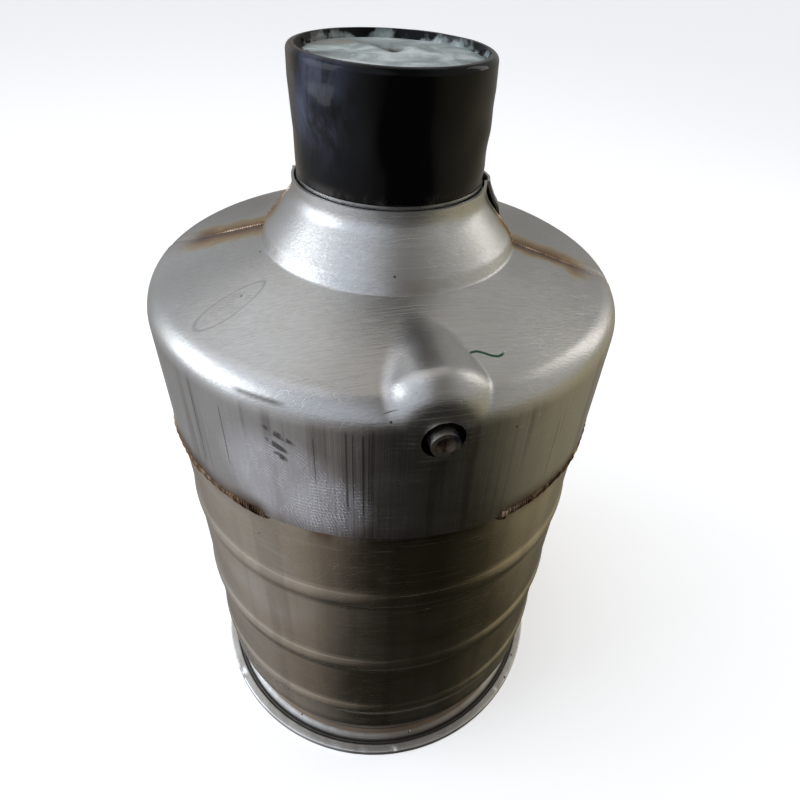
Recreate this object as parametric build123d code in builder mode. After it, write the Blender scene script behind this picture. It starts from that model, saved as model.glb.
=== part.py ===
"""Liquid nitrogen storage dewar with a push-on lid, a two-piece pressed shoulder and an evacuation port.

The vessel stands on its foot ring. Origin: centre of the foot ring's underside.
+Z runs up the axis and the evacuation port faces -Y. Millimetres and degrees.
"""

import os
from math import cos, radians, sin

from build123d import *

# ---------------------------------------------------------------- outer casing
SHEET = 1.5                 # casing sheet
SKIRT_R = 150.0             # outside radius of the shoulder skirt
SKIRT_Z = 308.0             # lower edge of the skirt
SHOULDER_EDGE_Z = 402.0     # where the shoulder cone meets the skirt, before rounding
SHOULDER_EDGE_FILLET = 18.0
COLLAR_R = 57.8             # outside radius of the neck collar
COLLAR_TOP_Z = 461.0
COLLAR_BASE_Z = 452.0
HUB_R = 75.5                # foot of the steep cone under the collar
HUB_Z = 431.0
CREASE_R = 78.6             # crease between the hub and the shoulder cone
CREASE_Z = 424.0
HUB_FILLETS = [5.0, 9.0, 2.5]
SEAM_ANGLE = -16.0          # the halves of the shoulder meet at this angle from +X, and opposite it
SEAM_BEAD_ARC = 1.3
SEAM_BEAD_HEIGHT = 0.8

BODY_R = 148.0
BODY_LAP = 12.0             # how far the body reaches up inside the skirt
BODY_BOTTOM_Z = 46.0
BEAD_LEVELS = (240.0, 153.0, 79.0)
BEAD_HALF_WIDTH = 8.0
BEAD_HEIGHT = 1.5
GIRTH_WELD_R = 150.2
GIRTH_WELD_DROP = 4.5
GIRTH_WELD_LIP = 1.5
GIRTH_WELD_BELLY = (149.8, 304.85)   # radius and height of the weld's rounded face

HEAD_SHEET = 2.0            # bottom head
HEAD_LAP = 14.0
HEAD_KNUCKLE_Z = 40.0
HEAD_FOOT_R = 137.5
HEAD_FLAT_R = 60.0
HEAD_FLAT_Z = 24.0
HEAD_FILLETS = [20.0, 2.5, 40.0]

FOOT_R = 155.0              # foot ring
FOOT_BORE_R = 131.0
FOOT_TOP_Z = 10.5
FOOT_RIM_Z = 6.0
FOOT_GROOVE_R = 146.6       # middle of the groove between the rim and the ledge
FOOT_GROOVE_Z = 3.5
FOOT_GROOVE_HALF = 2.0
FOOT_LEDGE_R = 139.0
FOOT_LEDGE_EDGE_Z = 8.6
FOOT_FILLETS = [0.6, 1.2, 1.0, 1.0, 2.2, 3.0]
FOOT_WELD = 3.0

# ---------------------------------------------------------------- neck
NECK_BORE_R = 49.0
NECK_TUBE_R = 51.2
NECK_TUBE_BOTTOM_Z = 340.0
NECK_SEAT_Z = 463.0         # the lid stands here
NECK_RING_R = 54.9
NECK_FLANGE_Z = 455.0
NECK_RING_BOTTOM_Z = 447.0
SPIGOT_R = 51.6
SPIGOT_TOP_Z = 478.0
SPIGOT_CHAMFER = 0.8

# ---------------------------------------------------------------- inner vessel
INNER_R = 123.0
INNER_SHEET = 1.5
INNER_SHELL_TOP_Z = 292.0
INNER_SHELL_BOTTOM_Z = 112.0
INNER_NECK_TOP_Z = 362.0
INNER_SHOULDER_Z = (348.0, 330.0)
INNER_HEAD_FILLETS = [5.0, 36.0]
INNER_BOTTOM_Z = (72.0, 62.0)
INNER_BOTTOM_FLAT_R = 60.0
INNER_BOTTOM_FILLETS = [34.0, 30.0]
INNER_WELD = 2.0
SHELL_GAP = 0.6             # root gap of the inner welds

BLANKET_CLEAR = 1.0
BLANKET_THICK = 11.0
SUPPORT_R = 18.0
SUPPORT_WALL = 4.0
TRAY_R = (28.0, 56.0)
TRAY_DEPTH = 10.0
TRAY_SHEET = 0.8
TRAY_HEADROOM = 1.0         # the charge stops short of the tray's top

# ---------------------------------------------------------------- evacuation port
PORT_Z = 383.5
HOOD_R = 34.0               # pressed hood over the port
HOOD_FRONT = 149.6
HOOD_BACK = 60.0
HOOD_FRONT_FILLET = 20.0
HOOD_BACK_FILLET = 1.0
PORT_HOLE_R = 11.6
POCKET_R = 19.0
POCKET_FLOOR = 128.0        # distance of the pocket's floor from the axis
PORT_TUBE_R = 7.75
PORT_BORE_R = 5.45
PORT_TUBE_SPAN = (116.0, 154.0)
PORT_FIT = 0.07
PLUG_SPAN = (130.0, 149.0)
PLUG_SOCKET_R = 2.6
PLUG_SOCKET_DEPTH = 5.0
RING_SECTION_R = 0.9
RING_PLACES = (134.0, 140.0)
SCREW_FACE = 151.6
SCREW_SLOT = (1.3, 1.1)     # width, depth

# ---------------------------------------------------------------- lid
CAP_R = 54.9
CAP_WAIST_R = 54.1
CAP_WAIST_Z = 486.0
CAP_BULGE_R = 55.6
CAP_BULGE_Z = 512.0
CAP_RIM_R = 51.5
CAP_RIM_Z = 523.5
CAP_RIM_MIDDLE = (54.9, 519.0)
CROWN_R = 50.5
CROWN_Z = 522.7
CAP_TOP_Z = 527.5
CAP_WALL = 2.4
CAP_BORE_R = 52.1
CAP_CEILING_Z = 520.0
CORK_R = 47.4
CORK_BOTTOM_Z = 374.0
CORK_HEAD_R = 51.2
CORK_HEAD_Z = 480.0
CORK_CHAMFER = 2.0
ROD_R = 4.0
ROD_FIT_R = 4.1
WASHER_R = 30.0
WASHER_THICK = 3.0
NUT_FLATS = 13.0
NUT_THICK = 6.5
SLEEVE_R = 9.0              # threaded sleeve moulded under the cap's top
SLEEVE_LENGTH = 20.0
ROD_TAIL = 3.0


def upright(angle):
    """The plane through the axis at this angle from +X, with x outwards and y up."""
    a = radians(angle)
    return Plane(origin=(0, 0, 0), x_dir=(cos(a), sin(a), 0), z_dir=(sin(a), -cos(a), 0))


def port_plane(distance):
    """The plane across the port's axis, this far out from the vessel's axis."""
    return Plane(origin=(0, -distance, PORT_Z), x_dir=(1, 0, 0), z_dir=(0, -1, 0))


def sheet(points, radii, thickness, side, plane=Plane.XZ):
    """A strip of sheet on one side of a rounded outline."""
    with BuildSketch(plane) as profile:
        with BuildLine():
            FilletPolyline(*points, radius=radii)
            offset(amount=thickness, side=side)
        make_face()
    return profile.sketch


def tube(plane, inner, outer, length):
    """A plain round tube that stands on a plane, or a disc where inner is 0."""
    with BuildPart() as part:
        with BuildSketch(plane):
            Circle(outer)
            if inner:
                Circle(inner, mode=Mode.SUBTRACT)
        extrude(amount=length)
    return part.part


def ring(inner, outer, low, high):
    """A round tube about the vessel's axis."""
    return tube(Plane.XY.offset(low), inner, outer, high - low)


def port_ring(inner, outer, near, far):
    """A round tube about the port's axis, from near to far out from the vessel's axis."""
    return tube(port_plane(near), inner, outer, far - near)


def save(part, name):
    part.label = name
    export_step(part, f"parts/{name}.step")


# ---------------------------------------------------------------- outlines
SHOULDER_POINTS = [
    (COLLAR_R, COLLAR_TOP_Z),
    (COLLAR_R, COLLAR_BASE_Z),
    (HUB_R, HUB_Z),
    (CREASE_R, CREASE_Z),
    (SKIRT_R, SHOULDER_EDGE_Z),
    (SKIRT_R, SKIRT_Z),
]
SHOULDER_RADII = HUB_FILLETS + [SHOULDER_EDGE_FILLET]


def pressed_solid(inset):
    """The solid shape that the shoulder pressing wraps, drawn in by inset on every side."""
    with BuildPart() as solid:
        with BuildSketch(Plane.XZ):
            with BuildLine():
                FilletPolyline(*SHOULDER_POINTS, radius=SHOULDER_RADII)
                Polyline((COLLAR_R, COLLAR_TOP_Z), (0, COLLAR_TOP_Z), (0, SKIRT_Z), (SKIRT_R, SKIRT_Z))
            make_face()
            if inset:
                with BuildLine():
                    FilletPolyline(*SHOULDER_POINTS, radius=SHOULDER_RADII)
                    offset(amount=inset, side=Side.RIGHT)
                make_face(mode=Mode.SUBTRACT)
        revolve(axis=Axis.Z)
        with BuildSketch(Plane.YZ):
            with BuildLine():
                FilletPolyline(
                    (-HOOD_BACK, PORT_Z),
                    (-HOOD_BACK, PORT_Z + HOOD_R - inset),
                    (inset - HOOD_FRONT, PORT_Z + HOOD_R - inset),
                    (inset - HOOD_FRONT, PORT_Z),
                    radius=[HOOD_BACK_FILLET, HOOD_FRONT_FILLET - inset],
                )
                Line((inset - HOOD_FRONT, PORT_Z), (-HOOD_BACK, PORT_Z))
            make_face()
        revolve(axis=Axis(origin=(0, 0, PORT_Z), direction=(0, 1, 0)))
    return solid.part


# ---------------------------------------------------------------- outer casing parts
os.makedirs("parts", exist_ok=True)

with BuildPart() as shoulder_front_shell:
    add(pressed_solid(0))
    add(pressed_solid(SHEET), mode=Mode.SUBTRACT)
    split(bisect_by=upright(SEAM_ANGLE), keep=Keep.TOP)
    add(port_ring(0, PORT_HOLE_R, POCKET_FLOOR, SKIRT_R + SHEET), mode=Mode.SUBTRACT)
save(shoulder_front_shell.part, "shoulder_front_shell")

with BuildPart() as shoulder_rear_shell:
    revolve(
        sheet(SHOULDER_POINTS, SHOULDER_RADII, SHEET, Side.RIGHT, upright(SEAM_ANGLE)),
        axis=Axis.Z,
        revolution_arc=180,
    )
save(shoulder_rear_shell.part, "shoulder_rear_shell")

SEAM_POINTS = SHOULDER_POINTS[:-1] + [(SKIRT_R, SKIRT_Z + SEAM_BEAD_HEIGHT)]
for name, angle in (("seam_weld_right", SEAM_ANGLE), ("seam_weld_left", SEAM_ANGLE + 180)):
    with BuildPart() as seam_weld:
        revolve(
            sheet(
                SEAM_POINTS, SHOULDER_RADII, SEAM_BEAD_HEIGHT, Side.LEFT,
                upright(angle - SEAM_BEAD_ARC / 2),
            ),
            axis=Axis.Z,
            revolution_arc=SEAM_BEAD_ARC,
        )
    save(seam_weld.part, name)

with BuildPart() as body_shell:
    with BuildSketch(Plane.XZ):
        with BuildLine():
            top = SKIRT_Z + BODY_LAP
            for level in BEAD_LEVELS:
                Line((BODY_R, top), (BODY_R, level + BEAD_HALF_WIDTH))
                ThreePointArc(
                    (BODY_R, level + BEAD_HALF_WIDTH),
                    (BODY_R + BEAD_HEIGHT, level),
                    (BODY_R, level - BEAD_HALF_WIDTH),
                )
                top = level - BEAD_HALF_WIDTH
            Line((BODY_R, top), (BODY_R, BODY_BOTTOM_Z))
            offset(amount=SHEET, side=Side.RIGHT)
        make_face()
    revolve(axis=Axis.Z)
save(body_shell.part, "body_shell")

with BuildPart() as girth_weld:
    with BuildSketch(Plane.XZ):
        with BuildLine():
            Polyline(
                (BODY_R, SKIRT_Z - GIRTH_WELD_DROP),
                (BODY_R, SKIRT_Z),
                (GIRTH_WELD_R, SKIRT_Z),
                (GIRTH_WELD_R, SKIRT_Z - GIRTH_WELD_LIP),
            )
            ThreePointArc(
                (GIRTH_WELD_R, SKIRT_Z - GIRTH_WELD_LIP),
                GIRTH_WELD_BELLY,
                (BODY_R, SKIRT_Z - GIRTH_WELD_DROP),
            )
        make_face()
    revolve(axis=Axis.Z)
save(girth_weld.part, "girth_weld")

HEAD_R = BODY_R - SHEET
with BuildPart() as bottom_head:
    with BuildSketch(Plane.XZ):
        with BuildLine():
            FilletPolyline(
                (HEAD_R, BODY_BOTTOM_Z + HEAD_LAP),
                (HEAD_R, HEAD_KNUCKLE_Z),
                (HEAD_FOOT_R, FOOT_TOP_Z),
                (HEAD_FLAT_R, HEAD_FLAT_Z),
                (0, HEAD_FLAT_Z),
                radius=HEAD_FILLETS,
            )
            offset(amount=HEAD_SHEET, side=Side.RIGHT)
        make_face()
    revolve(axis=Axis.Z)
save(bottom_head.part, "bottom_head")

with BuildPart() as foot_ring:
    with BuildSketch(Plane.XZ):
        with BuildLine():
            FilletPolyline(
                (FOOT_BORE_R, 0),
                (FOOT_R, 0),
                (FOOT_R, FOOT_RIM_Z),
                (FOOT_GROOVE_R + FOOT_GROOVE_HALF, FOOT_RIM_Z),
                (FOOT_GROOVE_R, FOOT_GROOVE_Z),
                (FOOT_GROOVE_R - FOOT_GROOVE_HALF, FOOT_LEDGE_EDGE_Z),
                (FOOT_LEDGE_R, FOOT_TOP_Z),
                (FOOT_BORE_R, FOOT_TOP_Z),
                radius=FOOT_FILLETS,
            )
            Line((FOOT_BORE_R, FOOT_TOP_Z), (FOOT_BORE_R, 0))
        make_face()
    revolve(axis=Axis.Z)
    add(bottom_head.part, mode=Mode.SUBTRACT)
save(foot_ring.part, "foot_ring")

with BuildPart() as foot_weld:
    with BuildSketch(Plane.XZ):
        with BuildLine():
            Polyline(
                (HEAD_FOOT_R - FOOT_WELD, FOOT_TOP_Z),
                (HEAD_FOOT_R + FOOT_WELD, FOOT_TOP_Z),
                (HEAD_FOOT_R, FOOT_TOP_Z + FOOT_WELD),
                close=True,
            )
        make_face()
    revolve(axis=Axis.Z)
    add(bottom_head.part, mode=Mode.SUBTRACT)
save(foot_weld.part, "foot_weld")

# ---------------------------------------------------------------- neck parts
COLLAR_BORE_R = COLLAR_R - SHEET
with BuildPart() as neck_ring:
    add(ring(NECK_TUBE_R, COLLAR_BORE_R, NECK_RING_BOTTOM_Z, NECK_FLANGE_Z))
    add(ring(NECK_TUBE_R, NECK_RING_R, NECK_FLANGE_Z, NECK_SEAT_Z - SHEET))
    add(ring(NECK_BORE_R, NECK_RING_R, NECK_SEAT_Z - SHEET, NECK_SEAT_Z))
    add(ring(NECK_BORE_R, SPIGOT_R, NECK_SEAT_Z, SPIGOT_TOP_Z))
    chamfer(neck_ring.edges().group_by(Axis.Z)[-1], length=SPIGOT_CHAMFER)
save(neck_ring.part, "neck_ring")

neck_tube = ring(NECK_BORE_R, NECK_TUBE_R, NECK_TUBE_BOTTOM_Z, NECK_SEAT_Z - SHEET)
save(neck_tube, "neck_tube")

# ---------------------------------------------------------------- inner vessel parts
INNER_NECK_R = NECK_TUBE_R + INNER_SHEET
INNER_TOP_POINTS = [
    (INNER_NECK_R, INNER_NECK_TOP_Z),
    (INNER_NECK_R, INNER_SHOULDER_Z[0]),
    (INNER_R, INNER_SHOULDER_Z[1]),
    (INNER_R, INNER_SHELL_TOP_Z),
]
INNER_BOTTOM_POINTS = [
    (INNER_R, INNER_SHELL_BOTTOM_Z),
    (INNER_R, INNER_BOTTOM_Z[0]),
    (INNER_BOTTOM_FLAT_R, INNER_BOTTOM_Z[1]),
    (0, INNER_BOTTOM_Z[1]),
]

with BuildPart() as inner_top_head:
    revolve(sheet(INNER_TOP_POINTS, INNER_HEAD_FILLETS, INNER_SHEET, Side.RIGHT), axis=Axis.Z)
save(inner_top_head.part, "inner_top_head")

inner_shell = ring(
    INNER_R - INNER_SHEET, INNER_R, INNER_SHELL_BOTTOM_Z + SHELL_GAP, INNER_SHELL_TOP_Z - SHELL_GAP
)
save(inner_shell, "inner_shell")

with BuildPart() as inner_bottom_head:
    revolve(sheet(INNER_BOTTOM_POINTS, INNER_BOTTOM_FILLETS, INNER_SHEET, Side.RIGHT), axis=Axis.Z)
save(inner_bottom_head.part, "inner_bottom_head")

for name, low in (
    ("inner_top_weld", INNER_SHELL_TOP_Z - SHELL_GAP),
    ("inner_bottom_weld", INNER_SHELL_BOTTOM_Z),
):
    with BuildPart() as inner_weld:
        add(ring(INNER_R - INNER_SHEET, INNER_R, low, low + SHELL_GAP))
        add(ring(INNER_R, INNER_R + SHELL_GAP, low - INNER_WELD, low + SHELL_GAP + INNER_WELD))
    save(inner_weld.part, name)

BLANKET_POINTS = (
    INNER_TOP_POINTS[:-1] + INNER_BOTTOM_POINTS[1:-1] + [(SUPPORT_R + BLANKET_CLEAR, INNER_BOTTOM_Z[1])]
)
BLANKET_RADII = INNER_HEAD_FILLETS + INNER_BOTTOM_FILLETS
TRAY_BOTTOM_Z = INNER_BOTTOM_Z[1] - TRAY_DEPTH
with BuildPart() as insulation_blanket:
    with BuildSketch(Plane.XZ):
        add(sheet(BLANKET_POINTS, BLANKET_RADII, BLANKET_CLEAR + BLANKET_THICK, Side.LEFT))
        add(sheet(BLANKET_POINTS, BLANKET_RADII, BLANKET_CLEAR, Side.LEFT), mode=Mode.SUBTRACT)
    revolve(axis=Axis.Z)
    add(
        ring(
            TRAY_R[0] - BLANKET_CLEAR, TRAY_R[1] + BLANKET_CLEAR,
            TRAY_BOTTOM_Z - BLANKET_CLEAR, INNER_BOTTOM_Z[1],
        ),
        mode=Mode.SUBTRACT,
    )
save(insulation_blanket.part, "insulation_blanket")

with BuildPart() as adsorbent_tray:
    add(ring(*TRAY_R, TRAY_BOTTOM_Z, INNER_BOTTOM_Z[1]))
    add(
        ring(
            TRAY_R[0] + TRAY_SHEET, TRAY_R[1] - TRAY_SHEET,
            TRAY_BOTTOM_Z + TRAY_SHEET, INNER_BOTTOM_Z[1],
        ),
        mode=Mode.SUBTRACT,
    )
save(adsorbent_tray.part, "adsorbent_tray")

adsorbent_charge = ring(
    TRAY_R[0] + TRAY_SHEET, TRAY_R[1] - TRAY_SHEET,
    TRAY_BOTTOM_Z + TRAY_SHEET, INNER_BOTTOM_Z[1] - TRAY_HEADROOM,
)
save(adsorbent_charge, "adsorbent_charge")

base_support = ring(
    SUPPORT_R - SUPPORT_WALL, SUPPORT_R, HEAD_FLAT_Z + HEAD_SHEET, INNER_BOTTOM_Z[1]
)
save(base_support, "base_support")

# ---------------------------------------------------------------- evacuation port parts
with BuildPart() as port_pocket:
    add(port_ring(POCKET_R - SHEET, POCKET_R, POCKET_FLOOR, SKIRT_R))
    add(port_ring(PORT_TUBE_R, POCKET_R, POCKET_FLOOR, POCKET_FLOOR + SHEET))
    add(pressed_solid(SHEET), mode=Mode.INTERSECT)
save(port_pocket.part, "port_pocket")

port_tube = port_ring(PORT_BORE_R, PORT_TUBE_R, *PORT_TUBE_SPAN)
save(port_tube, "port_tube")

PLUG_R = PORT_BORE_R - PORT_FIT
with BuildPart() as port_plug:
    add(port_ring(0, PLUG_R, *PLUG_SPAN))
    for place in RING_PLACES:
        add(
            port_ring(PLUG_R - 2 * RING_SECTION_R, PLUG_R, place - RING_SECTION_R, place + RING_SECTION_R),
            mode=Mode.SUBTRACT,
        )
    add(port_ring(0, PLUG_SOCKET_R, PLUG_SPAN[1] - PLUG_SOCKET_DEPTH, PLUG_SPAN[1]), mode=Mode.SUBTRACT)
save(port_plug.part, "port_plug")

with BuildPart() as port_o_rings:
    for place in RING_PLACES:
        with BuildSketch(Plane.YZ):
            with Locations((-place, PORT_Z + PLUG_R - RING_SECTION_R)):
                Circle(RING_SECTION_R)
        revolve(axis=Axis(origin=(0, 0, PORT_Z), direction=(0, 1, 0)))
save(port_o_rings.part, "port_o_rings")

with BuildPart() as port_screw:
    add(port_ring(0, PLUG_R, PLUG_SPAN[1], SCREW_FACE))
    add(port_ring(0, PLUG_SOCKET_R - PORT_FIT, PLUG_SPAN[1] - PLUG_SOCKET_DEPTH + PORT_FIT, PLUG_SPAN[1]))
    with BuildSketch(port_plane(SCREW_FACE - SCREW_SLOT[1])):
        Rectangle(SCREW_SLOT[0], 3 * PLUG_R)
    extrude(amount=2 * SCREW_SLOT[1], mode=Mode.SUBTRACT)
save(port_screw.part, "port_screw")

# ---------------------------------------------------------------- lid parts
SLEEVE_BOTTOM_Z = CAP_CEILING_Z - SLEEVE_LENGTH
CROWN_RISE = CAP_TOP_Z - CROWN_Z
CROWN_SPHERE_R = (CROWN_R**2 + CROWN_RISE**2) / (2 * CROWN_RISE)
with BuildPart() as lid_cap:
    with BuildSketch(Plane.XZ):
        with BuildLine():
            Line((CAP_BORE_R, NECK_SEAT_Z), (CAP_R, NECK_SEAT_Z))
            ThreePointArc((CAP_R, NECK_SEAT_Z), (CAP_WAIST_R, CAP_WAIST_Z), (CAP_BULGE_R, CAP_BULGE_Z))
            ThreePointArc((CAP_BULGE_R, CAP_BULGE_Z), CAP_RIM_MIDDLE, (CAP_RIM_R, CAP_RIM_Z))
            Line((CAP_RIM_R, CAP_RIM_Z), (CROWN_R, CROWN_Z))
            RadiusArc((CROWN_R, CROWN_Z), (0, CAP_TOP_Z), -CROWN_SPHERE_R)
            Polyline(
                (0, CAP_TOP_Z), (0, CAP_CEILING_Z), (CAP_BORE_R, CAP_CEILING_Z), (CAP_BORE_R, NECK_SEAT_Z)
            )
        make_face()
    revolve(axis=Axis.Z)
    add(ring(ROD_R, SLEEVE_R, SLEEVE_BOTTOM_Z, CAP_CEILING_Z))
save(lid_cap.part, "lid_cap")

with BuildPart() as lid_cork:
    add(ring(ROD_FIT_R, CORK_R, CORK_BOTTOM_Z, CORK_HEAD_Z))
    add(ring(ROD_FIT_R, CORK_HEAD_R, CORK_HEAD_Z, CAP_CEILING_Z))
    add(ring(0, SLEEVE_R, SLEEVE_BOTTOM_Z, CAP_CEILING_Z), mode=Mode.SUBTRACT)
    chamfer(lid_cork.edges().group_by(Axis.Z)[0].sort_by(SortBy.RADIUS)[-1], length=CORK_CHAMFER)
save(lid_cork.part, "lid_cork")

cork_washer = ring(ROD_FIT_R, WASHER_R, CORK_BOTTOM_Z - WASHER_THICK, CORK_BOTTOM_Z)
save(cork_washer, "cork_washer")

NUT_TOP_Z = CORK_BOTTOM_Z - WASHER_THICK
with BuildPart() as cork_nut:
    with BuildSketch(Plane.XY.offset(NUT_TOP_Z - NUT_THICK)):
        RegularPolygon(radius=NUT_FLATS / 2, side_count=6, major_radius=False)
        Circle(ROD_R, mode=Mode.SUBTRACT)
    extrude(amount=NUT_THICK)
save(cork_nut.part, "cork_nut")

cork_rod = ring(0, ROD_R, NUT_TOP_Z - NUT_THICK - ROD_TAIL, CAP_CEILING_Z)
save(cork_rod, "cork_rod")
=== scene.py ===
"""Looks for the liquid nitrogen dewar: the worked outer skins, the materials, and the studio round them.

Everything is in metres, in the frame of the CAD model: +Z up the vessel's axis, and the port towards -Y.
A bearing is an angle in degrees round the axis from the port, positive towards +X.
"""

from math import ceil, cos, pi, radians, sin, tan

import bpy
import numpy as np
from mathutils import Matrix, Vector


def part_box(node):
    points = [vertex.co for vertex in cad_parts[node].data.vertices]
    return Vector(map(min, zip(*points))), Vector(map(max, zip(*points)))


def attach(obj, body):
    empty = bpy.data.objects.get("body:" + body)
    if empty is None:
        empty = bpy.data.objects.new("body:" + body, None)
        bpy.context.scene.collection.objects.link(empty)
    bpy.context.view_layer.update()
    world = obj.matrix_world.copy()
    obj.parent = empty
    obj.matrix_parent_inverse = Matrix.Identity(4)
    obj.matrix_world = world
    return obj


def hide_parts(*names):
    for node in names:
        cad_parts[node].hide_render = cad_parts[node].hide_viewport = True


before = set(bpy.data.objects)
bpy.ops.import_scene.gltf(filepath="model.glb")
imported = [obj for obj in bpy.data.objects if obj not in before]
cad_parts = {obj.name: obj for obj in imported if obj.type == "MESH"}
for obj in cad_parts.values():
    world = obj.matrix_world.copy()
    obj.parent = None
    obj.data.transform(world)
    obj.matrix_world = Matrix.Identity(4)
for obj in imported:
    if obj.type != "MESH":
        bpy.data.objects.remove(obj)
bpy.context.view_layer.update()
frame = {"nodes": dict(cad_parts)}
nodes = frame["nodes"]
MM = 0.001


def top_of(node):
    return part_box(node)[1].z


def bottom_of(node):
    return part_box(node)[0].z


def radius_of(node):
    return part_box(node)[1].x


# ---- sizes of the outer skins
SHEET = 1.5 * MM
SKIRT_R = 150 * MM
SKIRT_Z = bottom_of("shoulder_rear_shell")
EDGE_Z = 402 * MM             # where the shoulder cone would meet the skirt
EDGE_FILLET = 18 * MM
COLLAR_R = 57.8 * MM
COLLAR_TOP_Z = top_of("shoulder_rear_shell")
COLLAR_BASE_Z = 452 * MM
HUB_R = 75.5 * MM
HUB_Z = 431 * MM
CREASE_R = 78.6 * MM
CREASE_Z = 424 * MM
HUB_FILLETS = (14 * MM, 9 * MM, 2.5 * MM)
SEAM_BEARING = 74.0           # the front half runs from this bearing round to SEAM_BEARING - 180
PORT_Z = 383.5 * MM
HOOD_R = 34.5 * MM
HOOD_FRONT = 149.4 * MM
HOOD_ROLL = 16 * MM           # rounding of the hood's front
PORT_HOLE_R = 11.4 * MM

BODY_R = 148 * MM
BODY_TOP_Z = top_of("body_shell")
BODY_BOTTOM_Z = bottom_of("body_shell")
BEAD_LEVELS = (240 * MM, 153 * MM, 79 * MM)
BEAD_HALF_WIDTH = 8 * MM
BEAD_HEIGHT = 1.5 * MM

SHOULDER_CORNERS = (
    (COLLAR_R, COLLAR_TOP_Z),
    (COLLAR_R, COLLAR_BASE_Z),
    (HUB_R, HUB_Z),
    (CREASE_R, CREASE_Z),
    (SKIRT_R, EDGE_Z),
    (SKIRT_R, SKIRT_Z),
)
SHOULDER_RADII = HUB_FILLETS + (EDGE_FILLET,)


# ---- outlines and grids
def filled(path, step):
    """The same path with points no further apart than step."""
    points = [path[0]]
    for a, b in zip(path, path[1:]):
        count = max(1, ceil((b - a).length / step))
        points += [a.lerp(b, k / count) for k in range(1, count + 1)]
    return points


def rounded(corners, radii, step):
    """Points along an outline in (radius, height), with its inner corners rounded."""
    corners = [Vector(c) for c in corners]
    path = [corners[0]]
    for before, corner, after, radius in zip(corners, corners[1:], corners[2:], radii):
        back, on = (before - corner).normalized(), (after - corner).normalized()
        half = back.angle(on) / 2
        middle = corner + (back + on).normalized() * (radius / sin(half))
        first = corner + back * (radius / tan(half)) - middle
        last = corner + on * (radius / tan(half)) - middle
        parts = max(6, ceil(radius * (pi - 2 * half) / step))
        path += [middle + first.slerp(last, k / parts) * radius for k in range(parts + 1)]
    return np.array(filled(path + [corners[-1]], step))


def revolved(outline, bearings):
    """Points and outward normals of an outline turned to each bearing, in (bearing, outline, xyz) arrays."""
    way = np.gradient(outline, axis=0)
    way /= np.linalg.norm(way, axis=1)[:, None]
    turn = np.radians(bearings)
    around = np.stack([np.sin(turn), -np.cos(turn)], -1)

    def spin(r, z):
        flat = around[:, None, :] * r[None, :, None]
        return np.concatenate([flat, np.broadcast_to(z[None, :, None], flat.shape[:2] + (1,))], -1)

    return spin(outline[:, 0], outline[:, 1]), spin(-way[:, 1], way[:, 0])


def steps(count, closed):
    """Each number with the next one, and the last with the first if closed."""
    return [(k, (k + 1) % count) for k in range(count if closed else count - 1)]


def grid_faces(columns, rows, around=False, along=False, skip=lambda i, j: False):
    """Faces of a grid of points numbered column by column, which may close on itself either way."""
    return [
        (i * rows + j, i * rows + up, on * rows + up, on * rows + j)
        for i, on in steps(columns, around)
        for j, up in steps(rows, along)
        if not skip(i, j)
    ]


def mesh_piece(name, points, faces, thickness=0, crisp=40):
    """A smooth-shaded piece of these points and faces, given a thickness inwards if it is an open skin."""
    mesh = bpy.data.meshes.new(name)
    used = sorted({k for face in faces for k in face})
    number = {k: n for n, k in enumerate(used)}
    mesh.from_pydata([tuple(points[k]) for k in used], [], [[number[k] for k in face] for face in faces])
    mesh.update()
    piece = bpy.data.objects.new(name, mesh)
    bpy.context.scene.collection.objects.link(piece)
    if thickness:
        wall = piece.modifiers.new("wall", "SOLIDIFY")
        wall.thickness = thickness
        wall.offset = -1
        applied = bpy.data.meshes.new_from_object(piece.evaluated_get(bpy.context.evaluated_depsgraph_get()))
        piece.modifiers.clear()
        piece.data = applied
        applied.name = name
    piece.data.shade_smooth()
    piece.data.set_sharp_from_angle(angle=radians(crisp))
    return piece


def grid_piece(name, points, around=False, along=False, **skin):
    """A piece of one grid of points."""
    return mesh_piece(name, points.reshape(-1, 3), grid_faces(*points.shape[:2], around, along), **skin)


def step_up(value, low, high):
    """0 below low, 1 above high, smooth between."""
    t = np.clip((value - low) / (high - low), 0, 1)
    return t * t * (3 - 2 * t)


def hump(value, middle, half_width):
    """1 at the middle, falling to 0 half a width away."""
    return 1 - step_up(np.abs(value - middle), 0, half_width)


def waves(points, seed, length, count=9):
    """Smooth random unevenness between about -1 and 1, whose waves are about this long."""
    rng = np.random.default_rng(seed)
    total = np.zeros(points.shape[:-1])
    for _ in range(count):
        way = rng.normal(size=3)
        way *= 2 * pi / (length * rng.uniform(0.7, 1.8)) / np.linalg.norm(way)
        total += np.sin(points @ way + rng.uniform(0, 2 * pi))
    return total / count * 1.6


def bearing_of(points):
    return np.degrees(np.arctan2(points[..., 0], -points[..., 1]))


def radius_from_axis(points):
    return np.hypot(points[..., 0], points[..., 1])


# ---- shoulder
def plain_shoulder_distance(points):
    """Distance outside the plain cone and skirt, with their rounded edge."""
    r, z = radius_from_axis(points) - SKIRT_R, points[..., 2] - EDGE_Z
    slope = np.array([SKIRT_R - CREASE_R, EDGE_Z - CREASE_Z])
    slope /= np.linalg.norm(slope)
    to_cone = z * slope[0] - r * slope[1]
    inset_z = -EDGE_FILLET * (1 + slope[1]) / slope[0]
    from_r, from_z = r + EDGE_FILLET, z - inset_z
    beyond = (from_z > 0) & (from_r * slope[0] + from_z * slope[1] > 0)
    return np.where(beyond, np.hypot(from_r, from_z) - EDGE_FILLET, np.maximum(r, to_cone))


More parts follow.
